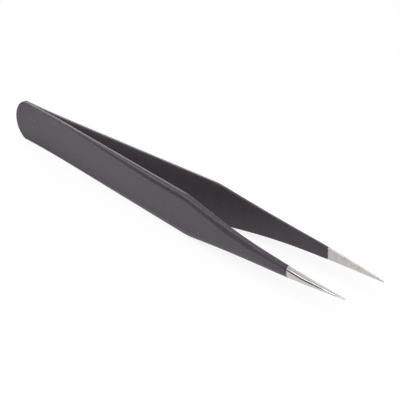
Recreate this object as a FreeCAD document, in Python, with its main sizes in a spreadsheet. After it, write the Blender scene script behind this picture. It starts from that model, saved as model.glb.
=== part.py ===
import FreeCAD, Part

import math
import os

import Sketcher
from FreeCAD import Vector

# Driving dimensions, in millimetres and degrees.
# A "place" is measured along the arm from the butt, a "from_point" size back from the point.
# A gap is measured between the inner faces of the two arms, a thickness outwards from the inner face.
SIZES = (
    ("overall_length", 120.0),
    ("arm_width", 10.0),
    ("butt_end_depth", 3.4),
    ("butt_corner_radius", 1.5),
    ("butt_thickness", 0.70),
    ("bend_place", 12.5),
    ("bend_radius", 250.0),
    ("spring_place", 34.0),
    ("spring_thickness", 0.90),
    ("grip_place", 56.0),
    ("grip_thickness", 1.22),
    ("face_blend_radius", 300.0),
    ("shoulder_from_point", 49.9),
    ("shoulder_radius", 26.0),
    ("waist_from_point", 33.3),
    ("waist_width", 5.2),
    ("waist_radius", 268.0),
    ("jaw_bend_from_point", 23.5),
    ("jaw_bend_gap", 12.07),
    ("jaw_bend_radius", 340.0),
    ("jaw_thickness", 1.15),
    ("point_gap", 11.08),
    ("point_width", 0.35),
    ("point_bar_thickness", 0.80),
    ("bevel_angle", 30.0),
    ("rim_thickness", 0.62),
    ("point_rim_thickness", 0.20),
    ("grind_from_point", 16.0),
    ("grind_radius", 300.0),
    ("trim_margin", 3.0),
)

# How close two lengths have to be to count as the same
TOLERANCE = 0.01

DOC = FreeCAD.newDocument("tweezers")


def make_sheet():
    """Write every driving dimension to the sheet, with its name as alias."""
    sheet = DOC.addObject("Spreadsheet::Sheet", "Sizes")
    for row, (name, value) in enumerate(SIZES, start=1):
        sheet.set(f"A{row}", name)
        sheet.set(f"B{row}", str(value))
        sheet.setAlias(f"B{row}", name)
    DOC.recompute()


def origin_plane(body, role):
    """Return the body's own origin plane of that role."""
    for feature in body.Origin.OriginFeatures:
        if feature.Role == role:
            return feature
    raise ValueError(role)


def new_sketch(body, name, role):
    """Make an empty sketch on one of the body's origin planes."""
    sketch = body.newObject("Sketcher::SketchObject", name)
    sketch.AttachmentSupport = [(origin_plane(body, role), "")]
    sketch.MapMode = "FlatFace"
    return sketch


def bind(sketch, kind, places, expression):
    """Add a dimension to the sketch and bind it to an expression on the sheet."""
    value = sketch.evalExpression(expression)
    index = sketch.addConstraint(Sketcher.Constraint(kind, *places, value))
    sketch.setExpression(f"Constraints[{index}]", expression)


def draw_outline(sketch, corners):
    """Draw a closed outline of straight lines through the corners.

    Each corner is (x, y) or (x, y, radius), as expressions on the sheet.
    A corner with a radius is rounded by an arc that is tangent to both lines.
    """
    count = len(corners)
    points = [Vector(sketch.evalExpression(c[0]), sketch.evalExpression(c[1]), 0) for c in corners]
    starts = []
    ends = []
    for i, corner in enumerate(corners):
        back = (points[i - 1] - points[i]).normalize()
        ahead = (points[(i + 1) % count] - points[i]).normalize()
        setback = 0.0
        if len(corner) == 3:
            half_turn = (math.pi - back.getAngle(ahead)) / 2
            setback = sketch.evalExpression(corner[2]) * math.tan(half_turn)
        ends.append(points[i] + back * setback)
        starts.append(points[i] + ahead * setback)

    lines = []
    for i in range(count):
        segment = Part.LineSegment(starts[i], ends[(i + 1) % count])
        lines.append(sketch.addGeometry(segment, False))

    for i, corner in enumerate(corners):
        before = lines[i - 1]
        after = lines[i]
        if len(corner) == 2:
            sketch.addConstraint(Sketcher.Constraint("Coincident", before, 2, after, 1))
            vertex = (after, 1)
        else:
            arc = add_corner_arc(sketch, before, after, points[i], ends[i], starts[i], corner[2])
            vertex = (sketch.addGeometry(Part.Point(points[i]), True), 1)
            sketch.addConstraint(Sketcher.Constraint("PointOnObject", vertex[0], 1, before))
            sketch.addConstraint(Sketcher.Constraint("PointOnObject", vertex[0], 1, after))
        bind(sketch, "DistanceX", (-1, 1) + vertex, corner[0])
        bind(sketch, "DistanceY", (-1, 1) + vertex, corner[1])


def add_corner_arc(sketch, before, after, corner, first, last, radius):
    """Round one corner between two lines with a tangent arc of the given radius."""
    size = sketch.evalExpression(radius)
    inward = ((first - corner).normalize() + (last - corner).normalize()).normalize()
    half_opening = (first - corner).getAngle(last - corner) / 2
    centre = corner + inward * (size / math.sin(half_opening))
    middle = centre - inward * size
    arc = sketch.addGeometry(Part.Arc(first, middle, last), False)
    ends_meet = (sketch.getPoint(arc, 1) - first).Length < (sketch.getPoint(arc, 2) - first).Length
    near, far = (1, 2) if ends_meet else (2, 1)
    sketch.addConstraint(Sketcher.Constraint("Tangent", before, 2, arc, near))
    sketch.addConstraint(Sketcher.Constraint("Tangent", arc, far, after, 1))
    bind(sketch, "Radius", (arc,), radius)
    return arc


# Places along the arm that are measured back from the point
SHOULDER = "(Sizes.overall_length - Sizes.shoulder_from_point)"
WAIST = "(Sizes.overall_length - Sizes.waist_from_point)"
JAW_BEND = "(Sizes.overall_length - Sizes.jaw_bend_from_point)"
GRIND = "(Sizes.overall_length - Sizes.grind_from_point)"


def inner_at(place):
    """Half the gap between the arms at a place on the straight run from the bend to the jaw bend."""
    return f"Sizes.jaw_bend_gap / 2 * ({place} - Sizes.bend_place) / ({JAW_BEND} - Sizes.bend_place)"


# Half the gap and the whole width where the point's grind starts, both on a straight run to the point
INNER_AT_GRIND = (
    "(Sizes.point_gap + (Sizes.jaw_bend_gap - Sizes.point_gap)"
    " * Sizes.grind_from_point / Sizes.jaw_bend_from_point) / 2"
)
WIDTH_AT_GRIND = (
    "(Sizes.point_width + (Sizes.waist_width - Sizes.point_width)"
    " * Sizes.grind_from_point / Sizes.waist_from_point)"
)


def bevel_height(inner, rim, width):
    """How far the rim's outer edge lies from the axis of the tilted bevel sketch."""
    return f"({inner} + {rim}) * cos(Sizes.bevel_angle) + {width} / 2 * sin(Sizes.bevel_angle)"


def add_bar(body):
    """The bent bar, seen from above: its inner face, its outer face and the thickness between them."""
    sketch = new_sketch(body, "PlanProfile", "XY_Plane")
    draw_outline(sketch, (
        ("0", "0"),
        ("Sizes.bend_place", "0", "Sizes.bend_radius"),
        (JAW_BEND, "Sizes.jaw_bend_gap / 2", "Sizes.jaw_bend_radius"),
        ("Sizes.overall_length", "Sizes.point_gap / 2"),
        ("Sizes.overall_length", "Sizes.point_gap / 2 + Sizes.point_bar_thickness"),
        (JAW_BEND, "Sizes.jaw_bend_gap / 2 + Sizes.jaw_thickness",
         "Sizes.jaw_bend_radius + Sizes.jaw_thickness"),
        ("Sizes.grip_place", f"{inner_at('Sizes.grip_place')} + Sizes.grip_thickness",
         "Sizes.face_blend_radius"),
        ("Sizes.spring_place", f"{inner_at('Sizes.spring_place')} + Sizes.spring_thickness",
         "Sizes.face_blend_radius"),
        ("Sizes.bend_place", "Sizes.butt_thickness", "Sizes.bend_radius - Sizes.butt_thickness"),
        ("0", "Sizes.butt_thickness"),
    ))
    bar = body.newObject("PartDesign::Pad", "Bar")
    bar.Profile = sketch
    bar.SideType = "Symmetric"
    bar.setExpression("Length", "Sizes.arm_width")
    DOC.recompute()
    return bar


def check_cut(feature, volume_before):
    """Stop if the feature took nothing off the bar."""
    if feature.Shape.isNull() or feature.Shape.Volume > volume_before - TOLERANCE:
        raise RuntimeError(f"{feature.Name} cut nothing")


def cut_through(body, name, sketch):
    """Cut the sketch's area out of the bar, through everything on both sides."""
    volume_before = body.Shape.Volume
    pocket = body.newObject("PartDesign::Pocket", name)
    pocket.Profile = sketch
    pocket.SideType = "Two sides"
    pocket.Type = "ThroughAll"
    pocket.Type2 = "ThroughAll"
    DOC.recompute()
    check_cut(pocket, volume_before)
    return pocket


def cut_taper(body):
    """Narrow the bar from the shoulder to the needle point, as seen from the side."""
    sketch = new_sketch(body, "SideProfile", "XZ_Plane")
    edge = "Sizes.arm_width / 2"
    outside = f"{edge} + Sizes.trim_margin"
    behind = "-Sizes.trim_margin"
    ahead = "Sizes.overall_length + Sizes.trim_margin"
    draw_outline(sketch, (
        (SHOULDER, edge, "Sizes.shoulder_radius"),
        (WAIST, "Sizes.waist_width / 2", "Sizes.waist_radius"),
        ("Sizes.overall_length", "Sizes.point_width / 2"),
        ("Sizes.overall_length", "-Sizes.point_width / 2"),
        (WAIST, "-Sizes.waist_width / 2", "Sizes.waist_radius"),
        (SHOULDER, f"-{edge}", "Sizes.shoulder_radius"),
        (behind, f"-{edge}"),
        (behind, f"-({outside})"),
        (ahead, f"-({outside})"),
        (ahead, outside),
        (behind, outside),
        (behind, edge),
    ))
    return cut_through(body, "Taper", sketch)


def cut_butt_end(body):
    """Round the butt end with one arc from edge to edge."""
    sketch = new_sketch(body, "ButtProfile", "XZ_Plane")
    depth = sketch.evalExpression("Sizes.butt_end_depth")
    half = sketch.evalExpression("Sizes.arm_width / 2")
    left = -sketch.evalExpression("Sizes.trim_margin")
    top = Vector(depth, half, 0)
    bottom = Vector(depth, -half, 0)
    arc = sketch.addGeometry(Part.Arc(top, Vector(0, 0, 0), bottom), False)
    top_line = sketch.addGeometry(Part.LineSegment(top, Vector(left, half, 0)), False)
    end_line = sketch.addGeometry(
        Part.LineSegment(Vector(left, half, 0), Vector(left, -half, 0)), False)
    bottom_line = sketch.addGeometry(Part.LineSegment(Vector(left, -half, 0), bottom), False)
    arc_top, arc_bottom = (1, 2) if sketch.getPoint(arc, 1).y > 0 else (2, 1)
    sketch.addConstraint(Sketcher.Constraint("Coincident", arc, arc_top, top_line, 1))
    sketch.addConstraint(Sketcher.Constraint("Coincident", top_line, 2, end_line, 1))
    sketch.addConstraint(Sketcher.Constraint("Coincident", end_line, 2, bottom_line, 1))
    sketch.addConstraint(Sketcher.Constraint("Coincident", bottom_line, 2, arc, arc_bottom))
    sketch.addConstraint(Sketcher.Constraint("PointOnObject", -1, 1, arc))
    bind(sketch, "DistanceX", (-1, 1, top_line, 1), "Sizes.butt_end_depth")
    bind(sketch, "DistanceY", (-1, 1, top_line, 1), "Sizes.arm_width / 2")
    bind(sketch, "DistanceX", (-1, 1, bottom_line, 2), "Sizes.butt_end_depth")
    bind(sketch, "DistanceY", (-1, 1, bottom_line, 2), "-Sizes.arm_width / 2")
    bind(sketch, "DistanceX", (-1, 1, end_line, 1), "-Sizes.trim_margin")
    bind(sketch, "DistanceY", (-1, 1, end_line, 1), "Sizes.arm_width / 2")
    bind(sketch, "DistanceX", (-1, 1, end_line, 2), "-Sizes.trim_margin")
    bind(sketch, "DistanceY", (-1, 1, end_line, 2), "-Sizes.arm_width / 2")
    return cut_through(body, "ButtEnd", sketch)


def round_butt_corners(body, base):
    """Round the two corners where the butt's arc meets the long edges."""
    depth = base.evalExpression("Sizes.butt_end_depth")
    half = base.evalExpression("Sizes.arm_width / 2")
    names = []
    for number, edge in enumerate(base.Shape.Edges, start=1):
        at_corner = all(
            abs(v.X - depth) < TOLERANCE and abs(abs(v.Z) - half) < TOLERANCE
            for v in edge.Vertexes)
        if at_corner:
            names.append(f"Edge{number}")
    fillet = body.newObject("PartDesign::Fillet", "ButtCorners")
    fillet.Base = (base, names)
    fillet.setExpression("Radius", "Sizes.butt_corner_radius")
    DOC.recompute()
    return fillet


def cut_bevels(body):
    """Grind a bevel on the outer face along each long edge, from the butt to the point.

    The sketch lies in a plane that is tilted by the bevel's angle, so its outline is the rim
    seen along the bevel. The rim keeps its thickness while the bar grows thicker towards the
    shoulder, so each bevel starts as a thin line and widens.
    """
    sketch = new_sketch(body, "BevelProfile", "XY_Plane")
    sketch.AttachmentOffset = FreeCAD.Placement(Vector(0, 0, 0), Vector(1, 0, 0), 0)
    sketch.setExpression("AttachmentOffset.Rotation.Angle", "Sizes.bevel_angle")
    at_butt = bevel_height("0", "Sizes.rim_thickness", "Sizes.arm_width")
    at_shoulder = bevel_height(inner_at(SHOULDER), "Sizes.rim_thickness", "Sizes.arm_width")
    at_grind = bevel_height(INNER_AT_GRIND, "Sizes.rim_thickness", WIDTH_AT_GRIND)
    at_point = bevel_height("Sizes.point_gap / 2", "Sizes.point_rim_thickness", "Sizes.point_width")
    outside = "Sizes.jaw_bend_gap + Sizes.arm_width"
    ahead = "Sizes.overall_length + Sizes.trim_margin"
    draw_outline(sketch, (
        ("-Sizes.trim_margin", at_butt),
        ("Sizes.bend_place", at_butt, "Sizes.bend_radius / cos(Sizes.bevel_angle)"),
        (SHOULDER, at_shoulder, "Sizes.shoulder_radius / sin(Sizes.bevel_angle)"),
        (GRIND, at_grind, "Sizes.grind_radius"),
        ("Sizes.overall_length", at_point),
        (ahead, at_point),
        (ahead, outside),
        ("-Sizes.trim_margin", outside),
    ))
    upper = cut_through(body, "UpperBevel", sketch)
    lower = body.newObject("PartDesign::Mirrored", "LowerBevel")
    lower.Originals = [upper]
    lower.MirrorPlane = (origin_plane(body, "XY_Plane"), [""])
    body.Tip = lower
    DOC.recompute()
    check_cut(lower, upper.Shape.Volume)
    return lower


def make_arm(label, turn):
    """Make one arm. Both are the same bar: one faces the other after half a turn about its length."""
    body = DOC.addObject("PartDesign::Body", label)
    body.Label = label
    add_bar(body)
    cut_taper(body)
    butt = cut_butt_end(body)
    round_butt_corners(body, butt)
    cut_bevels(body)
    body.Placement = FreeCAD.Placement(Vector(0, 0, 0), Vector(1, 0, 0), turn)
    body.setExpression("Placement.Base.x", "-Sizes.overall_length / 2")
    body.setExpression("Placement.Base.z", "Sizes.arm_width / 2")
    DOC.recompute()
    return body


def check_document():
    """Stop if any object of the document failed."""
    for item in DOC.Objects:
        if "Invalid" in item.State or "Error" in item.State:
            raise RuntimeError(f"{item.Name}: {item.State}")


def main():
    """Build both arms, check them and write one file for each."""
    make_sheet()
    arms = [make_arm("far_arm", 0), make_arm("near_arm", 180)]
    check_document()
    for arm in arms:
        if arm.Shape.isNull() or not arm.Shape.isValid():
            raise RuntimeError(f"{arm.Label}: bad shape")
    os.makedirs("parts", exist_ok=True)
    for arm in arms:
        arm.Shape.exportStep(f"parts/{arm.Label}.step")
        print(f"{arm.Label}: {arm.Shape.Volume:.1f} cubic mm, {len(arm.Shape.Solids)} solid")


main()
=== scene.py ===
import logging
import math
from collections.abc import Iterator, Sequence
from dataclasses import dataclass, field
from enum import Enum

import bmesh
import bpy
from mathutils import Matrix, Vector


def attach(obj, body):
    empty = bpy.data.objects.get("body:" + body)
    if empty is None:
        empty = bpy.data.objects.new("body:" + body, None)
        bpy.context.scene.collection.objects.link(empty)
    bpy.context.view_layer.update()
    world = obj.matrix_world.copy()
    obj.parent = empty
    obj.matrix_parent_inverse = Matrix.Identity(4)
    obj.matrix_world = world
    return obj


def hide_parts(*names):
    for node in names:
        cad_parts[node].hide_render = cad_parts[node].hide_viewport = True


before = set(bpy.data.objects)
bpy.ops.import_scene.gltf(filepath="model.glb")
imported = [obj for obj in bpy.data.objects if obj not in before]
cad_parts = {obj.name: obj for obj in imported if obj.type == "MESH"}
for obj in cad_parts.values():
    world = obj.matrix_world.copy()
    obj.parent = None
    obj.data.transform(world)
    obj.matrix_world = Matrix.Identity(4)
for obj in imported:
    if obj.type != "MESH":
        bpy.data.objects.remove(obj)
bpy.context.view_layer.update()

LOG = logging.getLogger("tweezers")
MM = 0.001
WHITE = (1.0, 1.0, 1.0, 1.0)
BLACK = (0.0, 0.0, 0.0, 1.0)
NOISE_MIDDLE = 0.5

# Steps round a section: inner face, inner edge, rim, outer edge, bevel, crease and outer face
INNER_STEPS = 6
INNER_EDGE_STEPS = 4
RIM_SHARES = (0.33, 0.67)
OUTER_EDGE_STEPS = 7
BEVEL_STEPS = 20
CREASE_STEPS = 4
FACE_SHARES = (0.2, 0.4, 0.6, 0.8, 1.0)

# Section lines in millimetres: round the butt, along the arm, and near the coating's end and point
BUTT_ARC_STEPS = 28
BUTT_CORNER_STEPS = 12
HUB_PAST_CENTRE = 0.6
LINE_STEP = 0.30
MASK_STEPS = (0.02, 0.06, 0.12, 0.20, 0.30)
BEFORE_MASK = 0.4
AFTER_MASK = 0.5
BEFORE_POINT = 0.5
POINT_STEPS = (0.4, 0.25, 0.14, 0.07, 0.03, 0.0)

# What counts as one point: in millimetres in a section, in metres in a mesh
SAME_POINT = 1e-6
WELD_REACH = 1e-7
EMPTY_EDGE = 1e-8

Pair = tuple[float, float]
Triple = tuple[float, float, float]
Settings = dict[str, object]
Inputs = dict[str | int, object]


class Side(Enum):
    """Which arm of the pair, with the sign of its outward direction along Y."""

    NEAR = -1
    FAR = 1


class Surface(Enum):
    """The finishes of an arm, with the place of each in its list of materials."""

    COATING = 0
    POLISHED_STEEL = 1
    GROUND_STEEL = 2


def ease(place: float, start: float, end: float) -> float:
    """Return the share at a place, which goes smoothly from 0 at start to 1 at end."""
    share = min(max((place - start) / (end - start), 0.0), 1.0)
    return share * share * (3.0 - 2.0 * share)


def stand(name: str, data: bpy.types.ID) -> bpy.types.Object:
    """Make an object and put it in the scene.

    Args:
        name: The object's name.
        data: Its mesh, lamp or camera.

    Returns:
        The object.
    """
    thing = bpy.data.objects.new(name, data)
    bpy.context.scene.collection.objects.link(thing)
    return thing


def stand_aimed(name: str, data: bpy.types.ID, place: Vector, way: Vector) -> bpy.types.Object:
    """Put a lamp or camera in the scene, looking along a direction.

    Args:
        name: The object's name.
        data: Its lamp or camera.
        place: Where it stands, in metres.
        way: The direction that it looks along.

    Returns:
        The object.
    """
    thing = stand(name, data)
    thing.location = place
    thing.rotation_mode = "QUATERNION"
    thing.rotation_quaternion = way.to_track_quat("-Z", "Y")
    return thing


# ---- shader graphs


class Shade:
    """A shader socket that can be used in expressions. Each operation adds its node."""

    def __init__(self, graph: "Graph", socket: bpy.types.NodeSocket) -> None:
        """Wrap an output socket of a node in a graph."""
        self.graph = graph
        self.socket = socket

    def _math(self, operation: str, first: "Shade | float",
              second: "Shade | float" = 0.0) -> "Shade":
        """Add a Math node and return its result."""
        return self.graph.value("ShaderNodeMath", 0, {"operation": operation},
                                {0: first, 1: second})

    def __add__(self, other: "Shade | float") -> "Shade":
        """Return the sum."""
        return self._math("ADD", self, other)

    __radd__ = __add__

    def __sub__(self, other: "Shade | float") -> "Shade":
        """Return the difference."""
        return self._math("SUBTRACT", self, other)

    def __rsub__(self, other: float) -> "Shade":
        """Return the difference from a number."""
        return self._math("SUBTRACT", other, self)

    def __mul__(self, other: "Shade | float") -> "Shade":
        """Return the product."""
        return self._math("MULTIPLY", self, other)

    __rmul__ = __mul__

    def largest(self, other: "Shade | float") -> "Shade":
        """Return the larger of two values."""
        return self._math("MAXIMUM", self, other)

    def smallest(self, other: "Shade | float") -> "Shade":
        """Return the smaller of two values."""
        return self._math("MINIMUM", self, other)

    def size(self) -> "Shade":
        """Return the value without its sign."""
        return self._math("ABSOLUTE", self)

    def ramp(self, low: float, high: float, to_low: float = 0.0, to_high: float = 1.0) -> "Shade":
        """Map a range of values smoothly to another, with both ends held.

        Args:
            low: Where the range starts.
            high: Where it ends.
            to_low: The result at and before low.
            to_high: The result at and beyond high.

        Returns:
            The mapped value.
        """
        return self.graph.value(
            "ShaderNodeMapRange", 0, {"interpolation_type": "SMOOTHSTEP"},
            {"Value": self, "From Min": low, "From Max": high, "To Min": to_low, "To Max": to_high},
        )


@dataclass(frozen=True)
class Grain:
    """A fractal noise: frequency per metre, octaves, strength of each further one, and stretch."""

    scale: float
    detail: float = 2.0
    roughness: float = 0.5
    stretch: Triple | None = None


class Graph:
    """The node tree of one material or of the world."""

    MIX_FACTOR = 0
    MIX_COLOURS = (6, 7)
    MIX_RESULT = 2

    def __init__(self, tree: bpy.types.NodeTree) -> None:
        """Empty the tree and keep it."""
        self.tree = tree
        tree.nodes.clear()

    def node(self, kind: str, settings: Settings | None = None,
             inputs: Inputs | None = None) -> bpy.types.Node:
        """Add a node.

        Args:
            kind: The node's type.
            settings: Properties, set before the sockets.
            inputs: Socket name or number to a value or a Shade.

        Returns:
            The new node.
        """
        node = self.tree.nodes.new(kind)
        for name, value in (settings or {}).items():
            setattr(node, name, value)
        for name, value in (inputs or {}).items():
            if isinstance(value, Shade):
                self.tree.links.new(value.socket, node.inputs[name])
            else:
                node.inputs[name].default_value = value
        return node

    def value(self, kind: str, output: str | int = 0, settings: Settings | None = None,
              inputs: Inputs | None = None) -> Shade:
        """Add a node and return one of its outputs, by name or number."""
        return Shade(self, self.node(kind, settings, inputs).outputs[output])

    def parts(self, kind: str, outputs: Sequence[str], inputs: Inputs | None = None) -> list[Shade]:
        """Add a node and return several of its outputs, by name."""
        node = self.node(kind, None, inputs)
        return [Shade(self, node.outputs[name]) for name in outputs]

    def finish(self, kind: str, inputs: Inputs) -> None:
        """Add a material's last shader and send it to the output."""
        shader = self.value(kind, 0, None, inputs)
        self.node("ShaderNodeOutputMaterial", None, {"Surface": shader})

    def place(self) -> Shade:
        """Return the position on the object, in metres of the row frame."""
        return self.value("ShaderNodeTexCoord", "Object")

    def mark(self, name: str) -> Shade:
        """Return a mark that the mesh carries at its vertices."""
        return self.value("ShaderNodeAttribute", "Fac", {"attribute_name": name})

    def noise(self, place: Shade, grain: Grain) -> Shade:
        """Return fractal noise.

        Args:
            place: Where it is read.
            grain: What it is like.

        Returns:
            The noise, about 0 to 1.
        """
        if grain.stretch:
            place = self.value("ShaderNodeVectorMath", 0, {"operation": "MULTIPLY"},
                               {0: place, 1: grain.stretch})
        return self.value(
            "ShaderNodeTexNoise", 0, {"noise_dimensions": "3D"},
            {"Vector": place, "Scale": grain.scale, "Detail": grain.detail,
             "Roughness": grain.roughness},
        )

    def blend(self, factor: Shade, first: Shade | Sequence[float],
              second: Shade | Sequence[float]) -> Shade:
        """Mix two colours.

        Args:
            factor: How much of the second colour there is.
            first: The first colour.
            second: The second colour.

        Returns:
            The mixed colour.
        """
        inputs: Inputs = {self.MIX_FACTOR: factor}
        for number, colour in zip(self.MIX_COLOURS, (first, second)):
            inputs[number] = colour if isinstance(colour, Shade) else (*colour, 1.0)
        return self.value("ShaderNodeMix", self.MIX_RESULT, {"data_type": "RGBA"}, inputs)

    def toned(self, tone: Shade, double: Shade | Sequence[float]) -> Shade:
        """Scale a colour, given at twice its strength, by a tone of 0 to 2."""
        return self.blend(tone * 0.5, BLACK[:3], double)


def doubled(colour: Triple) -> Triple:
    """Return a colour at twice its strength."""
    return tuple(2.0 * part for part in colour)


def blank_material(name: str) -> tuple[bpy.types.Material, Graph]:
    """Make a material with an empty graph.

    Args:
        name: The material's name.

    Returns:
        The material and its graph.
    """
    material = bpy.data.materials.new(name)
    material.use_nodes = True
    return material, Graph(material.node_tree)


# ---- finishes


@dataclass(frozen=True)
class Speck:
    """A grain, chip or spot in a finish: its centre and radius in millimetres of the row frame."""

    centre: Triple
    radius: float
    strength: float
    core: float = 0.35

    def mask(self, graph: Graph, place: Shade) -> Shade:
        """Return the speck's strength over its core, falling smoothly to 0 at its radius.

        Args:
            graph: The graph to add to.
            place: The position on the object.

        Returns:
            The mask.
        """
        centre = tuple(part * MM for part in self.centre)
        radius = self.radius * MM
        gap = graph.value("ShaderNodeVectorMath", "Value", {"operation": "DISTANCE"},
                          {0: place, 1: centre})
        return gap.ramp(radius, radius * self.core) * self.strength


@dataclass(frozen=True)
class CoatingFinish:
    """The satin dark grey coating, with a fine grain, worn edges and lighter specks."""

    colour: Triple = (0.0493, 0.0401, 0.0516)
    # The inner faces' colour runs from painted light near the butt to painted shade near the jaws
    inner_butt_painted_light_colour: Triple = (0.1000, 0.0850, 0.0985)
    inner_jaw_painted_shade_colour: Triple = (0.0425, 0.0360, 0.0420)
    inner_painted_tone_reach: Pair = (-0.045, 0.025)
    reflection_tint: Triple = (1.0, 0.88, 1.0)
    reflection_index: float = 1.42
    fine: Grain = Grain(3000.0, 4.0, 0.65)
    fine_tone: float = 0.75
    cloud: Grain = Grain(420.0)
    cloud_tone: float = 0.16
    inner_tone: float = 0.9
    worn_colour: Triple = (0.20, 0.19, 0.195)
    streak: Grain = Grain(2600.0, 3.0, 0.65, (0.35, 1.0, 1.0))
    streak_range: Pair = (0.56, 0.74)
    edge_wear: float = 0.5
    roughness: float = 0.20
    inner_roughness: float = 0.45
    roughness_change: float = 0.10
    bump_fine: float = 0.6
    bump_strength: float = 0.25
    bump_depth: float = 0.00003
    specks: tuple[Speck, ...] = ()

    def build(self) -> bpy.types.Material:
        """Make the coating's material.

        Returns:
            The material.
        """
        material, graph = blank_material("satin_coating")
        place = graph.place()
        fine = graph.noise(place, self.fine)
        cloud = graph.noise(place, self.cloud)
        inside = graph.mark("inner")
        # Painted light and shade on the inner faces: paler towards the butt, where the crotch lies
        # in shade, and darker towards the jaws
        along = graph.value("ShaderNodeSeparateXYZ", "X", None, {0: place})
        inner = graph.blend(along.ramp(*self.inner_painted_tone_reach), doubled(self.inner_butt_painted_light_colour),
                            doubled(self.inner_jaw_painted_shade_colour))
        full = graph.blend(inside, doubled(self.colour), inner)
        tone = (fine - NOISE_MIDDLE) * self.fine_tone + (cloud - NOISE_MIDDLE) * self.cloud_tone
        body = graph.toned(tone * (1.0 + inside * self.inner_tone) + 1.0, full)
        streak = graph.noise(place, self.streak).ramp(*self.streak_range)
        worn = graph.mark("edge") * streak * self.edge_wear
        for speck in self.specks:
            worn = worn.largest(speck.mask(graph, place))
        roughness = self.roughness + inside * (self.inner_roughness - self.roughness)
        for noise in (cloud, fine):
            roughness = roughness + (noise - NOISE_MIDDLE) * self.roughness_change
        bump = graph.value("ShaderNodeBump", 0, None, {
            "Height": fine * self.bump_fine + cloud,
            "Strength": self.bump_strength,
            "Distance": self.bump_depth,
        })
        graph.finish("ShaderNodeBsdfPrincipled", {
            "Base Color": graph.blend(worn, body, self.worn_colour),
            "Roughness": roughness,
            "IOR": self.reflection_index,
            "Specular Tint": (*self.reflection_tint, 1.0),
            "Normal": bump,
        })
        return material


@dataclass(frozen=True)
class SteelFinish:
    """Bare steel, with grinding marks across it or fine drawn lines along it."""

    name: str
    colour: Triple
    roughness: float
    marks: Grain
    depth: float
    mottle: float
    spots: tuple[Speck, ...] = ()
    cloud: Grain = Grain(900.0)
    cloud_share: float = 0.6
    marks_roughness: float = 0.40
    cloud_roughness: float = 0.20
    bump_strength: float = 0.5

    def build(self) -> bpy.types.Material:
        """Make the steel's material.

        Returns:
            The material.
        """
        material, graph = blank_material(self.name)
        place = graph.place()
        marks = graph.noise(place, self.marks)
        cloud = graph.noise(place, self.cloud)
        tone = 1.0 + (marks - NOISE_MIDDLE) * self.mottle
        tone = tone + (cloud - NOISE_MIDDLE) * self.mottle * self.cloud_share
        for spot in self.spots:
            tone = tone * (1.0 - spot.mask(graph, place))
        roughness = self.roughness
        for noise, change in ((marks, self.marks_roughness), (cloud, self.cloud_roughness)):
            roughness = roughness + (noise - NOISE_MIDDLE) * change * self.roughness
        bump = graph.value("ShaderNodeBump", 0, None, {
            "Height": marks,
            "Strength": self.bump_strength,
            "Distance": self.depth,
        })
        graph.finish("ShaderNodeBsdfPrincipled", {
            "Base Color": graph.toned(tone, doubled(self.colour)),
            "Metallic": 1.0,
            "Roughness": roughness,
            "Normal": bump,
        })
        return material


COATING = CoatingFinish(specks=(
    Speck((-53.19, -0.74, 6.33), 0.24, 0.45),
    Speck((-51.83, -0.77, 6.28), 0.20, 0.68),
    Speck((-43.38, -1.11, 8.58), 0.34, 0.36),
    Speck((-39.59, -1.35, 9.90), 0.30, 0.75),
    Speck((-52.82, -0.75, 4.31), 0.30, 0.27),
    Speck((14.96, -5.67, 2.70), 0.26, 0.45),
    Speck((29.55, -6.52, 4.52), 0.28, 0.36),
    Speck((-31.00, -1.60, 3.10), 0.22, 0.38),
    Speck((-14.20, -3.40, 6.90), 0.20, 0.30),
    Speck((-26.40, 1.95, 5.20), 0.24, 0.45),
    Speck((8.30, 5.10, 3.60), 0.22, 0.45),
    Speck((-47.10, 0.95, 7.40), 0.26, 0.52),
))
POLISHED_STEEL = SteelFinish(
    "polished_point", (0.545, 0.525, 0.50), roughness=0.10, depth=0.000004, mottle=0.08,
    marks=Grain(5200.0, 3.0, 0.6, (0.06, 1.0, 1.0)),
)
GROUND_STEEL = SteelFinish(
    "ground_point", (0.578, 0.547, 0.524), roughness=0.42, depth=0.00002, mottle=0.42,
    marks=Grain(3000.0, 3.0, 0.6, (1.0, 0.25, 0.25)),
    spots=(
        Speck((48.46, 5.76, 6.08), 0.30, 0.55),
        Speck((58.52, 5.57, 5.36), 0.24, 0.45),
        Speck((46.00, 5.78, 4.74), 0.30, 0.16),
        Speck((50.60, 5.74, 5.10), 0.40, 0.16),
        Speck((52.60, 5.70, 5.30), 0.34, 0.16),
        Speck((47.20, -5.74, 5.60), 0.26, 0.30),
    ),
)


# ---- the form of an arm


COATING_ENDS = {Side.NEAR: 103.95, Side.FAR: 103.55}


@dataclass(frozen=True)
class Corner:
    """A corner of a path: its place along the arm, its height and the radius that rounds it."""

    place: float
    height: float
    radius: float = 0.0


@dataclass(frozen=True)
class Arc:
    """An arc of a path: its start and end, its centre, and its radius, below 0 if it sags."""

    start: float
    end: float
    centre_place: float
    centre_height: float
    radius: float


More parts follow.
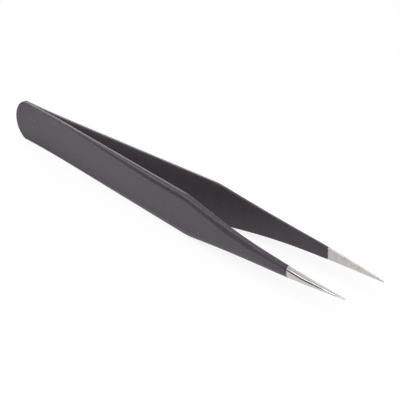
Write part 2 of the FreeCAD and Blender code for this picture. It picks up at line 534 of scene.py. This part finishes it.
class RoundedPath:
    """Straight runs through corners, each rounded by an arc that is tangent to both runs."""

    def __init__(self, corners: Sequence[Corner]) -> None:
        """Work out the arcs.

        Args:
            corners: The corners in order. The first and last have no radius.
        """
        self.corners = corners
        self.arcs: list[Arc] = []
        for before, corner, after in zip(corners, corners[1:], corners[2:]):
            first = math.atan2(corner.height - before.height, corner.place - before.place)
            last = math.atan2(after.height - corner.height, after.place - corner.place)
            setback = corner.radius * math.tan(abs(last - first) / 2)
            start = corner.place - setback * math.cos(first)
            end = corner.place + setback * math.cos(last)
            lift = corner.radius if last > first else -corner.radius
            centre_height = corner.height - setback * math.sin(first) + lift * math.cos(first)
            self.arcs.append(Arc(start, end, start - lift * math.sin(first), centre_height, -lift))

    def at(self, place: float) -> float:
        """Return the height at a place.

        Args:
            place: How far along the path.

        Returns:
            The height.
        """
        for arc in self.arcs:
            if arc.start < place < arc.end and arc.radius:
                reach = math.sqrt(arc.radius * arc.radius - (place - arc.centre_place) ** 2)
                return arc.centre_height + math.copysign(reach, arc.radius)
        runs = list(zip(self.corners, self.corners[1:]))
        before, after = next((run for run in runs if place <= run[1].place), runs[-1])
        share = (place - before.place) / (after.place - before.place)
        return before.height + (after.height - before.height) * share


@dataclass(frozen=True)
class BevelTurn:
    """How the bevel turns at a place along the arm, from its rim to its crease."""

    place: float
    turn: RoundedPath
    crease_radius: float = 0.30


def turn_through(*angles: Pair) -> RoundedPath:
    """Return a bevel's turn through pairs of a share across it and an angle in degrees."""
    return RoundedPath([Corner(*pair) for pair in angles])


BLADE_TURN = turn_through((0.0, 33.0), (0.55, 21.0), (1.0, 14.5))
POINT_TURN = turn_through((0.0, 38.0), (0.32, 35.0), (0.34, 26.0), (0.54, 23.8), (0.56, 19.0),
                          (1.0, 13.5))


@dataclass(frozen=True)
class ArmSizes:
    """The sizes of one arm, in millimetres, degrees and shares. Places are from the butt."""

    length: float = 120.0
    width: float = 10.0
    butt_depth: float = 3.4
    butt_corner_radius: float = 1.5
    butt_thickness: float = 0.70
    bend_place: float = 12.5
    bend_radius: float = 250.0
    spring_place: float = 34.0
    spring_thickness: float = 0.90
    grip_place: float = 56.0
    grip_thickness: float = 1.22
    face_blend_radius: float = 300.0
    shoulder_place: float = 70.1
    shoulder_radius: float = 26.0
    waist_place: float = 86.7
    waist_width: float = 5.2
    waist_radius: float = 268.0
    jaw_bend_place: float = 96.5
    jaw_bend_gap: float = 12.07
    jaw_bend_radius: float = 340.0
    jaw_thickness: float = 1.142
    point_gap: float = 11.08
    point_width: float = 0.35
    point_bar_thickness: float = 0.80
    point_rounding: float = 0.2
    point_bluntness: float = 0.06
    point_centre: float = 0.12
    bevel_angle: float = 30.0
    least_bevel_rise: float = 0.02
    bevel_turns: tuple[BevelTurn, ...] = (
        BevelTurn(8.0, turn_through((0.0, 36.0), (1.0, 22.0)), 0.10),
        BevelTurn(34.0, BLADE_TURN, 0.15),
        BevelTurn(66.0, BLADE_TURN, 0.15),
        BevelTurn(84.0, turn_through((0.0, 27.5), (0.5, 18.0), (1.0, 13.0)), 0.12),
        BevelTurn(93.0, turn_through((0.0, 26.0), (0.5, 17.5), (1.0, 13.0)), 0.12),
        BevelTurn(101.0, POINT_TURN),
        BevelTurn(111.0, POINT_TURN),
        BevelTurn(116.0, turn_through((0.0, 27.0), (0.80, 24.0), (1.0, 16.0))),
    )
    crease_share: float = 0.3
    rim_thickness: float = 0.62
    rim_wear: float = 0.35
    butt_rim_drop: float = 0.12
    butt_rim_reach: Pair = (3.0, 18.0)
    point_rim_thickness: float = 0.20
    grind_place: float = 104.0
    grind_radius: float = 300.0
    film: float = 0.03
    inner_edge_radius: float = 0.06
    inner_edge_rim_share: float = 0.35
    inner_edge_width_share: float = 0.3
    outer_edge_radius: float = 0.18
    outer_edge_rim_share: float = 0.8
    edge_narrowing: Pair = (88.0, 104.0)
    point_edge_share: float = 0.25


@dataclass(frozen=True)
class MaskingLine:
    """Where an arm's coating ends: its place from the butt and the waves that make it uneven."""

    place: float
    reach: float = 1.2
    turn: float = 0.42
    wave: float = 0.07
    ripple: float = 0.05
    ripple_turns: float = 2.7
    ripple_start: float = 1.0

    def shift(self, place: float, count: int, start: float) -> float:
        """Work out how far a point moves along the arm.

        Args:
            place: The place of its section line.
            count: Its number round the section.
            start: The angle at which the waves start.

        Returns:
            The shift in millimetres, 0 beyond the reach.
        """
        strength = 1.0 - ease(abs(place - self.place), 0.0, self.reach)
        phase = count * self.turn + start
        ripple = self.ripple * math.sin(self.ripple_turns * phase + self.ripple_start)
        return strength * (self.wave * math.sin(phase) + ripple)


@dataclass(frozen=True)
class SectionPoint:
    """A point of a section: depth in from the long edge, height off the inner face, and marks."""

    depth: float
    height: float
    surface: Surface
    edge: float
    inner: float = 0.0


class ArmForm:
    """The shape of one arm: its bend, its taper and the section that it has at each place."""

    def __init__(self, sizes: ArmSizes) -> None:
        """Work out the paths of its faces and edges.

        Args:
            sizes: The arm's sizes.
        """
        self.sizes = sizes
        s = sizes
        self.slope = math.radians(s.bevel_angle)
        run = s.jaw_bend_gap / 2 / (s.jaw_bend_place - s.bend_place)
        after_jaw = (s.point_gap - s.jaw_bend_gap) / 2 / (s.length - s.jaw_bend_place)
        taper = (s.point_width - s.waist_width) / 2 / (s.length - s.waist_place)
        shoulder_inner = run * (s.shoulder_place - s.bend_place)
        grind_inner = s.jaw_bend_gap / 2 + after_jaw * (s.grind_place - s.jaw_bend_place)
        grind_half = s.waist_width / 2 + taper * (s.grind_place - s.waist_place)
        self.inner = RoundedPath((
            Corner(0.0, 0.0),
            Corner(s.bend_place, 0.0, s.bend_radius),
            Corner(s.jaw_bend_place, s.jaw_bend_gap / 2, s.jaw_bend_radius),
            Corner(s.length, s.point_gap / 2),
        ))
        self.outer = RoundedPath((
            Corner(0.0, s.butt_thickness),
            Corner(s.bend_place, s.butt_thickness, s.bend_radius - s.butt_thickness),
            Corner(s.spring_place, run * (s.spring_place - s.bend_place) + s.spring_thickness,
                   s.face_blend_radius),
            Corner(s.grip_place, run * (s.grip_place - s.bend_place) + s.grip_thickness,
                   s.face_blend_radius),
            Corner(s.jaw_bend_place, s.jaw_bend_gap / 2 + s.jaw_thickness,
                   s.jaw_bend_radius + s.jaw_thickness),
            Corner(s.length, s.point_gap / 2 + s.point_bar_thickness),
        ))
        self.half_width = RoundedPath((
            Corner(0.0, s.width / 2),
            Corner(s.shoulder_place, s.width / 2, s.shoulder_radius),
            Corner(s.waist_place, s.waist_width / 2, s.waist_radius),
            Corner(s.length, s.point_width / 2),
        ))
        butt = self._bevel_height(0.0, s.rim_thickness, s.width / 2)
        shoulder = self._bevel_height(shoulder_inner, s.rim_thickness, s.width / 2)
        grind = self._bevel_height(grind_inner, s.rim_thickness, grind_half)
        point = self._bevel_height(s.point_gap / 2, s.point_rim_thickness, s.point_width / 2)
        self.bevel = RoundedPath((
            Corner(0.0, butt),
            Corner(s.bend_place, butt, s.bend_radius / math.cos(self.slope)),
            Corner(s.shoulder_place, shoulder, s.shoulder_radius / math.sin(self.slope)),
            Corner(s.grind_place, grind, s.grind_radius),
            Corner(s.length, point),
        ))

    def _bevel_height(self, inner: float, rim: float, half: float) -> float:
        """Return how far the bevel's plane lies from the middle line, for a rim at a half width."""
        return (inner + rim) * math.cos(self.slope) + half * math.sin(self.slope)

    def rim(self, place: float) -> float:
        """Return the rim's thickness at a place along the arm."""
        sideways = self.half_width.at(place) * math.sin(self.slope)
        return (self.bevel.at(place) - sideways) / math.cos(self.slope) - self.inner.at(place)

    def _bevel(self, place: float) -> tuple[list[float], float]:
        """Blend the bevel's turns on either side of a place.

        Args:
            place: The place along the arm.

        Returns:
            The slopes in radians, from rim to crease, and the crease's radius.
        """
        turns = self.sizes.bevel_turns
        last = next((i for i, turn in enumerate(turns) if turn.place > place), len(turns) - 1)
        before, after = turns[max(last - 1, 0)], turns[last]
        share = ease(place, before.place, after.place) if after is not before else 0.0
        slopes = []
        for i in range(BEVEL_STEPS):
            across = (i + 0.5) / BEVEL_STEPS
            slope = before.turn.at(across) * (1 - share) + after.turn.at(across) * share
            slopes.append(math.radians(slope))
        return slopes, before.crease_radius * (1 - share) + after.crease_radius * share

    def _inner_points(self, reach: float, radius: float, rim_end: float) -> list[SectionPoint]:
        """Trace the inner face, its rounded edge and the rim.

        Args:
            reach: How far in from the long edge the middle is.
            radius: The radius of the inner edge.
            rim_end: The height at which the outer edge starts to turn.

        Returns:
            The points, from the middle of the inner face.
        """
        points = []

        def add(depth: float, height: float, edge: float, inner: float) -> None:
            """Add a point."""
            points.append(SectionPoint(depth, height, Surface.GROUND_STEEL, edge, inner))

        for i in range(INNER_STEPS):
            add(reach + (radius - reach) * i / INNER_STEPS, 0.0, 0.0, 1.0)
        for i in range(INNER_EDGE_STEPS + 1):
            angle = math.pi / 2 * i / INNER_EDGE_STEPS
            add(radius * (1 - math.sin(angle)), radius * (1 - math.cos(angle)), 1.0,
                1.0 - i / INNER_EDGE_STEPS)
        for share in RIM_SHARES:
            add(0.0, radius + (rim_end - radius) * share, self.sizes.rim_wear, 0.0)
        return points

    def section(self, place: float, reach: float) -> list[SectionPoint]:
        """Trace half of a section, from the middle of the inner face to that of the outer face.

        Args:
            place: The place along the arm.
            reach: How far in from the long edge the middle is.

        Returns:
            The points, with the same number and marks at every place.
        """
        s = self.sizes
        thickness = self.outer.at(place) - self.inner.at(place)
        thinning = s.butt_rim_drop * (1 - ease(place, *s.butt_rim_reach))
        rim = min(self.rim(place) - thinning, thickness - s.least_bevel_rise)
        half = self.half_width.at(place)
        late = ease(place, *s.edge_narrowing)
        edge_radius = min(s.outer_edge_radius * (1 - late) + s.point_edge_share * half * late,
                          s.outer_edge_rim_share * rim)
        inner_radius = min(s.inner_edge_radius, s.inner_edge_rim_share * rim,
                           s.inner_edge_width_share * half)
        # The outer edge turns from the rim to the bevel
        slopes, crease = self._bevel(place)
        edge_turn = math.pi / 2 - slopes[0]
        rim_end = rim - edge_radius * math.tan(edge_turn / 2)
        start_depth = edge_radius * (1 - math.cos(edge_turn))
        start_height = rim_end + edge_radius * math.sin(edge_turn)
        # The bevel is slightly rounded and ends at a soft crease, or at the ridge of the point
        flat = slopes[-1]
        crease = min(crease, s.crease_share * reach)
        crease_run = crease * math.sin(flat)
        crease_rise = crease * (1 - math.cos(flat))
        run = sum(math.cos(slope) for slope in slopes)
        rise = sum(math.sin(slope) for slope in slopes)
        step = min((thickness - start_height - crease_rise) / rise,
                   (reach - start_depth - crease_run) / run)
        width = start_depth + step * run + crease_run
        top = start_height + step * rise + crease_rise
        points = self._inner_points(reach, inner_radius, rim_end)

        def add(depth: float, height: float, edge: float = 0.0) -> None:
            """Add a point."""
            points.append(SectionPoint(depth, height, Surface.POLISHED_STEEL, edge))

        for i in range(OUTER_EDGE_STEPS + 1):
            angle = edge_turn * i / OUTER_EDGE_STEPS
            add(edge_radius * (1 - math.cos(angle)), rim_end + edge_radius * math.sin(angle), 1.0)
        for slope in slopes:
            last = points[-1]
            add(last.depth + step * math.cos(slope), last.height + step * math.sin(slope))
        for i in range(1, CREASE_STEPS + 1):
            angle = flat * (1 - i / CREASE_STEPS)
            add(width - crease * math.sin(angle), top - crease * (1 - math.cos(angle)))
        for share in FACE_SHARES:
            add(width + (reach - width) * share, top)
        return points


@dataclass(frozen=True)
class Station:
    """A section line, from a place and height on the outline to a hub on the middle line."""

    place: float
    height: float
    hub: float
    bare: bool = False


@dataclass
class Shell:
    """The surface of one arm while it is laid out: vertices with their marks, and faces."""

    vertices: list[Triple] = field(default_factory=list)
    edges: list[float] = field(default_factory=list)
    inners: list[float] = field(default_factory=list)
    faces: list[tuple[int, ...]] = field(default_factory=list)
    surfaces: list[int] = field(default_factory=list)

    def put(self, vertex: Triple, marks: SectionPoint) -> int:
        """Add a vertex.

        Args:
            vertex: Its place in the row frame, in metres.
            marks: The point of the section that it stands for.

        Returns:
            Its number.
        """
        self.vertices.append(vertex)
        self.edges.append(marks.edge)
        self.inners.append(marks.inner)
        return len(self.vertices) - 1

    def cover(self, corners: Sequence[int], forward: bool, surface: Surface) -> None:
        """Add a face.

        Args:
            corners: The numbers of its vertices.
            forward: Whether their order already faces out.
            surface: Its finish.
        """
        self.faces.append(tuple(corners if forward else corners[::-1]))
        self.surfaces.append(surface.value)

    def mesh(self, name: str, finishes: Sequence[bpy.types.Material]) -> bpy.types.Mesh:
        """Make the mesh.

        Args:
            name: The mesh's name.
            finishes: The materials, in the order of Surface.

        Returns:
            The mesh, closed and smooth.
        """
        mesh = bpy.data.meshes.new(name)
        mesh.from_pydata(self.vertices, [], self.faces)
        for label, values in (("edge", self.edges), ("inner", self.inners)):
            attribute = mesh.attributes.new(label, "FLOAT", "POINT")
            attribute.data.foreach_set("value", values)
        for material in finishes:
            mesh.materials.append(material)
        mesh.polygons.foreach_set("material_index", self.surfaces)
        mesh.polygons.foreach_set("use_smooth", [True] * len(self.faces))
        mesh.validate()
        # Vertices lie together on the middle line, at the butt and at the ridge of the point
        work = bmesh.new()
        work.from_mesh(mesh)
        bmesh.ops.remove_doubles(work, verts=work.verts, dist=WELD_REACH)
        bmesh.ops.dissolve_degenerate(work, edges=work.edges, dist=EMPTY_EDGE)
        bmesh.ops.recalc_face_normals(work, faces=work.faces)
        work.to_mesh(mesh)
        work.free()
        return mesh


class Arm:
    """One arm of the pair, as a closed mesh with its coating and its bare point."""

    def __init__(self, side: Side, form: ArmForm, mask: MaskingLine,
                 finishes: Sequence[bpy.types.Material]) -> None:
        """Keep what the arm is made from.

        Args:
            side: Which arm it is.
            form: The shape that both arms share.
            mask: The end of its coating.
            finishes: The materials, in the order of Surface.
        """
        self.side = side
        self.form = form
        self.mask = mask
        self.finishes = finishes

    def _line(self, place: float, bare: bool, hub: float = 0.0) -> Station:
        """Return the line from the long edge to the hub, or straight across past the hub."""
        return Station(place, self.form.half_width.at(place), max(hub, place), bare)

    def _stations(self) -> Iterator[Station]:
        """Work out the section lines.

        Returns:
            The lines, one by one from the butt to the point.
        """
        s = self.form.sizes
        half = s.width / 2
        end_radius = (half * half + s.butt_depth ** 2) / (2 * s.butt_depth)
        inside = end_radius - s.butt_corner_radius
        corner_z = half - s.butt_corner_radius
        corner_x = end_radius - math.sqrt(inside * inside - corner_z * corner_z)
        hub = end_radius + HUB_PAST_CENTRE
        meet = math.atan2(corner_z, end_radius - corner_x)
        for i in range(BUTT_ARC_STEPS + 1):
            angle = meet * i / BUTT_ARC_STEPS
            yield Station(end_radius * (1 - math.cos(angle)), end_radius * math.sin(angle), hub)
        for i in range(1, BUTT_CORNER_STEPS + 1):
            angle = meet + (math.pi / 2 - meet) * i / BUTT_CORNER_STEPS
            yield Station(corner_x - s.butt_corner_radius * math.cos(angle),
                          corner_z + s.butt_corner_radius * math.sin(angle), hub)
        place = corner_x + LINE_STEP
        while place < self.mask.place - BEFORE_MASK:
            yield self._line(place, False, hub)
            place += LINE_STEP
        for step in (*reversed(MASK_STEPS), 0.0):
            yield self._line(self.mask.place - step, False)
        for step in MASK_STEPS:
            yield self._line(self.mask.place + step, True)
        place = self.mask.place + AFTER_MASK
        while place < s.length - BEFORE_POINT:
            yield self._line(place, True)
            place += LINE_STEP
        for left in POINT_STEPS:
            yield self._line(s.length - left, True)

    def _ring(self, station: Station) -> list[Triple]:
        """Place the points of one section line, upper half only.

        Args:
            station: The section line.

        Returns:
            The points in the arm's own frame, in millimetres, Y outwards.
        """
        form = self.form
        s = form.sizes
        lead = (station.hub - station.place, -station.height)
        reach = math.hypot(*lead)
        way = (lead[0] / reach, lead[1] / reach)
        flat = [(point.depth, point.height) for point in form.section(station.place, reach)]
        if station.bare:
            flat = self._shrunk(flat, s.film)
        left = s.length - station.place
        rounding = 1.0
        if left < s.point_rounding:
            rounding = math.sqrt(max(1 - (1 - left / s.point_rounding) ** 2, s.point_bluntness))
        points = []
        for count, (depth, height) in enumerate(flat):
            x = station.place + way[0] * depth
            x += self.mask.shift(station.place, count, self.side.value)
            y = form.inner.at(min(max(x, 0.0), s.length)) + height
            z = station.height + way[1] * depth
            if rounding < 1.0:
                centre = form.inner.at(s.length) + s.point_centre
                y = centre + (y - centre) * rounding
                z *= rounding
            points.append((x, y, z))
        return points

    @staticmethod
    def _shrunk(flat: list[Pair], film: float) -> list[Pair]:
        """Move a section inwards by the thickness of the coating.

        Args:
            flat: The section as depth and height.
            film: The coating's thickness.

        Returns:
            The section of the bare steel.
        """
        # Points that lie together at a ridge move as one
        apart = [point for point in flat if math.dist(point, flat[-1]) > SAME_POINT] + [flat[-1]]
        moved = []
        for i, (depth, height) in enumerate(apart):
            before = apart[max(i - 1, 0)]
            after = apart[min(i + 1, len(apart) - 1)]
            along = (after[0] - before[0], after[1] - before[1])
            length = math.hypot(*along)
            inward = (along[1] / length, -along[0] / length)
            sideways = 0.0 if i in (0, len(apart) - 1) else inward[0] * film
            moved.append((depth + sideways, height + inward[1] * film))
        return moved + [moved[-1]] * (len(flat) - len(apart))

    def _framed(self, point: Triple, half: int) -> Triple:
        """Move a point of a ring from the arm's own frame to the row frame.

        Args:
            point: The point, in millimetres.
            half: 1 for the upper half of the arm, -1 for the lower.

        Returns:
            The point, in metres.
        """
        s = self.form.sizes
        x, y, z = point
        return (x - s.length / 2) * MM, self.side.value * y * MM, (s.width / 2 + half * z) * MM

    def _shell(self) -> Shell:
        """Lay out the arm.

        Returns:
            Its surface.
        """
        s = self.form.sizes
        marks = self.form.section(s.grip_place, s.width / 2)
        stations = list(self._stations())
        outward = self.side is Side.FAR
        shell = Shell()
        upper: list[list[int]] = []
        lower: list[list[int]] = []
        for station in stations:
            top: list[int] = []
            bottom: list[int] = []
            for number, point in enumerate(self._ring(station)):
                mark = marks[number]
                top.append(shell.put(self._framed(point, 1), mark))
                shared = number in (0, len(marks) - 1)
                bottom.append(top[-1] if shared else shell.put(self._framed(point, -1), mark))
            upper.append(top)
            lower.append(bottom)
        for i, station in enumerate(stations[1:]):
            for k, mark in enumerate(marks[1:]):
                surface = mark.surface if station.bare else Surface.COATING
                for rows, forward in ((upper, outward), (lower, not outward)):
                    corners = (rows[i][k], rows[i + 1][k], rows[i + 1][k + 1], rows[i][k + 1])
                    shell.cover(corners, forward, surface)
        shell.cover(upper[-1] + lower[-1][-2:0:-1], not outward, Surface.POLISHED_STEEL)
        return shell

    def build(self) -> bpy.types.Object:
        """Build, dress and place the arm.

        Returns:
            The arm's object.
        """
        name = f"{self.side.name.lower()}_arm"
        piece = stand(f"{name}_dressed", self._shell().mesh(name, self.finishes))
        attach(piece, "root")
        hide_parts(name)
        return piece


# ---- the studio


@dataclass(frozen=True)
class Camera:
    """The photograph's view of the pair, in millimetres of the row frame and degrees."""

    azimuth: float = 48.83
    elevation: float = 25.99
    distance: float = 398.3
    lens: float = 160.93
    sensor_width: float = 36.0
    aim: Triple = (8.974, 0.0, 6.864)
    clip: Pair = (10.0, 50000.0)

    def build(self) -> bpy.types.Object:
        """Build the camera and set it as the scene's.

        Returns:
            The camera's object.
        """
        turn = math.radians(self.azimuth)
        rise = math.radians(self.elevation)
        level = math.cos(rise)
        back = Vector((math.sin(turn) * level, -math.cos(turn) * level, math.sin(rise)))
        data = bpy.data.cameras.new("camera")
        data.lens = self.lens
        data.sensor_width = self.sensor_width
        data.clip_start, data.clip_end = (end * MM for end in self.clip)
        place = (Vector(self.aim) + back * self.distance) * MM
        camera = stand_aimed("camera", data, place, -back)
        bpy.context.scene.camera = camera
        return camera


@dataclass(frozen=True)
class Softbox:
    """A soft lamp: its place and size in metres, and its face's brightness, where 1 is white."""

    name: str
    place: Triple
    size: Pair
    brightness: float

    def build(self) -> bpy.types.Object:
        """Hang the lamp, aimed at the pair.

        Returns:
            The lamp's object.
        """
        data = bpy.data.lights.new(self.name, "AREA")
        data.shape = "RECTANGLE"
        data.size, data.size_y = self.size
        data.energy = self.brightness * math.pi * self.size[0] * self.size[1]
        return stand_aimed(self.name, data, Vector(self.place), -Vector(self.place))


@dataclass(frozen=True)
class Band:
    """A band of the surround: its light, and the radii and height in metres where it starts."""

    radius_x: float
    radius_y: float
    height: float
    light: float


@dataclass(frozen=True)
class ContactShade:
    """The shade that the floor has in reflections along each arm's outer foot, in metres."""

    strength: float = 0.24
    butt: float = 0.0600
    spread: float = 0.0627
    butt_foot: float = 0.0007
    widest_foot: float = 0.0068
    inner_fade: Pair = (-0.0015, 0.0)
    outer_fade: Pair = (0.0006, 0.0045)
    end_fade: Pair = (0.026, 0.038)

    def mask(self, graph: Graph) -> Shade:
        """Return the shade, strongest at the feet and 0 a few millimetres away.

        Args:
            graph: The graph to add to.

        Returns:
            The mask.
        """
        along, across = graph.parts("ShaderNodeSeparateXYZ", ("X", "Y"), {0: graph.place()})
        foot = (along + self.butt) * self.spread + self.butt_foot
        away = across.size() - foot.smallest(self.widest_foot)
        beside = away.ramp(*self.inner_fade) * away.ramp(*self.outer_fade, 1.0, 0.0)
        return beside * along.ramp(*self.end_fade, 1.0, 0.0) * self.strength


@dataclass(frozen=True)
class Studio:
    """The plain pale floor, the world, the lamps and the surround that reflections show."""

    floor_size: float = 6.0
    floor_colour: Triple = (0.92, 0.92, 0.92)
    floor_glow: float = 0.80
    mirrored_floor_glow: float = 0.15
    shadow_reach: Pair = (0.12, 0.55)
    contact: ContactShade = ContactShade()
    world_level: float = 0.35
    surround_sides: int = 96
    bands: tuple[Band, ...] = (
        Band(0.085, 0.032, 0.0005, 0.22),
        Band(1.4, 1.4, 0.0005, 0.16),
        Band(1.4, 1.4, 0.200, 4.8),
        Band(1.4, 1.4, 0.280, 0.80),
        Band(1.4, 1.4, 2.400, 0.80),
    )
    lamps: tuple[Softbox, ...] = (
        Softbox("top_softbox", (-0.05, -0.20, 1.10), (1.0, 0.9), 2.5),
        Softbox("key_softbox", (0.60, -0.80, 0.85), (0.9, 0.7), 3.4),
        Softbox("left_softbox", (-1.05, -0.38, 0.84), (0.9, 0.4), 1.5),
        Softbox("rear_softbox", (-0.84, 0.72, 0.42), (0.7, 0.28), 1.35),
    )

    def build(self) -> None:
        """Build all of it."""
        self._world()
        self._floor()
        self._surround()
        for lamp in self.lamps:
            lamp.build()
        bpy.context.scene.view_settings.view_transform = "Standard"

    @staticmethod
    def _looked_at(graph: Graph, seen: Shade | float, mirrored: float) -> Shade:
        """Return one value to the camera, another in reflections, and 0 where light is gathered.

        Args:
            graph: The graph to add to.
            seen: The value for the camera.
            mirrored: The value in reflections and through glass.

        Returns:
            The value.
        """
        names = [f"Is {kind} Ray" for kind in ("Camera", "Glossy", "Transmission")]
        camera, glossy, through = graph.parts("ShaderNodeLightPath", names)
        return camera * seen + (glossy + through) * mirrored

    def _world(self) -> None:
        """Make the world: white to the camera and in reflections, softer as light."""
        world = bpy.data.worlds.new("studio_world")
        bpy.context.scene.world = world
        world.use_nodes = True
        graph = Graph(world.node_tree)
        level = self.world_level + self._looked_at(graph, 1.0, 1.0) * (1.0 - self.world_level)
        light = graph.value("ShaderNodeBackground", 0, None, {"Color": WHITE, "Strength": level})
        graph.node("ShaderNodeOutputWorld", None, {"Surface": light})

    def _floor(self) -> None:
        """Lay the floor at the height that the arms rest on."""
        half = self.floor_size / 2
        outline = [(-half, -half, 0), (half, -half, 0), (half, half, 0), (-half, half, 0)]
        floor = self._sheet("floor", outline, [(0, 1, 2, 3)])
        material, graph = blank_material("pale_floor")
        away = graph.value("ShaderNodeVectorMath", "Value", {"operation": "LENGTH"},
                           {0: graph.place()})
        far_glow = away.ramp(*self.shadow_reach, 0.0, 1.0 - self.floor_glow)
        glow = self._looked_at(graph, self.floor_glow + far_glow, self.mirrored_floor_glow)
        matte = graph.value("ShaderNodeBsdfDiffuse", 0, None, {"Color": (*self.floor_colour, 1.0)})
        light = graph.value("ShaderNodeEmission", 0, None, {"Color": WHITE, "Strength": 1.0})
        shade = graph.value("ShaderNodeEmission", 0, None, {"Color": BLACK, "Strength": 0.0})
        lit = graph.value("ShaderNodeMixShader", 0, None, {0: glow, 1: matte, 2: light})
        dimmed = self._looked_at(graph, 0.0, 1.0) * self.contact.mask(graph)
        graph.finish("ShaderNodeMixShader", {0: dimmed, 1: lit, 2: shade})
        floor.data.materials.append(material)

    def _surround(self) -> None:
        """Lay dark ground beyond the pale floor, with walls at its edge, for reflections alone."""
        sides = self.surround_sides
        vertices = []
        for band in self.bands:
            for i in range(sides):
                angle = 2 * math.pi * i / sides
                vertices.append((band.radius_x * math.cos(angle), band.radius_y * math.sin(angle),
                                 band.height))
        faces = []
        slots = []
        for number in range(len(self.bands) - 1):
            start = number * sides
            for i in range(sides):
                j = (i + 1) % sides
                faces.append((start + i, start + j, start + sides + j, start + sides + i))
                slots.append(number)
        surround = self._sheet("surround", vertices, faces)
        for number, band in enumerate(self.bands[:-1]):
            material, graph = blank_material(f"surround_{number}")
            graph.finish("ShaderNodeEmission", {"Color": WHITE, "Strength": band.light})
            surround.data.materials.append(material)
        surround.data.polygons.foreach_set("material_index", slots)
        surround.visible_camera = False
        surround.visible_diffuse = False
        surround.visible_shadow = False

    @staticmethod
    def _sheet(name: str, vertices: Sequence[Triple],
               faces: Sequence[tuple[int, ...]]) -> bpy.types.Object:
        """Make one piece of the stage.

        Args:
            name: Its name.
            vertices: Its vertices, in metres.
            faces: Its faces.

        Returns:
            Its object.
        """
        mesh = bpy.data.meshes.new(name)
        mesh.from_pydata(vertices, [], faces)
        sheet = stand(name, mesh)
        return sheet


def main() -> None:
    """Build the pair of arms, the camera and the studio."""
    logging.basicConfig(level=logging.INFO, format="%(name)s: %(message)s")
    form = ArmForm(ArmSizes())
    finishes = [finish.build() for finish in (COATING, POLISHED_STEEL, GROUND_STEEL)]
    for side, coating_end in COATING_ENDS.items():
        arm = Arm(side, form, MaskingLine(coating_end), finishes).build()
        mesh = arm.data
        LOG.info("%s: %d vertices, %d faces", arm.name, len(mesh.vertices), len(mesh.polygons))
    camera = Camera().build()
    LOG.info("%s: %.2f mm lens", camera.name, camera.data.lens)
    studio = Studio()
    studio.build()
    LOG.info("studio: floor, surround and %d lamps", len(studio.lamps))


if __name__ == "__main__":
    main()
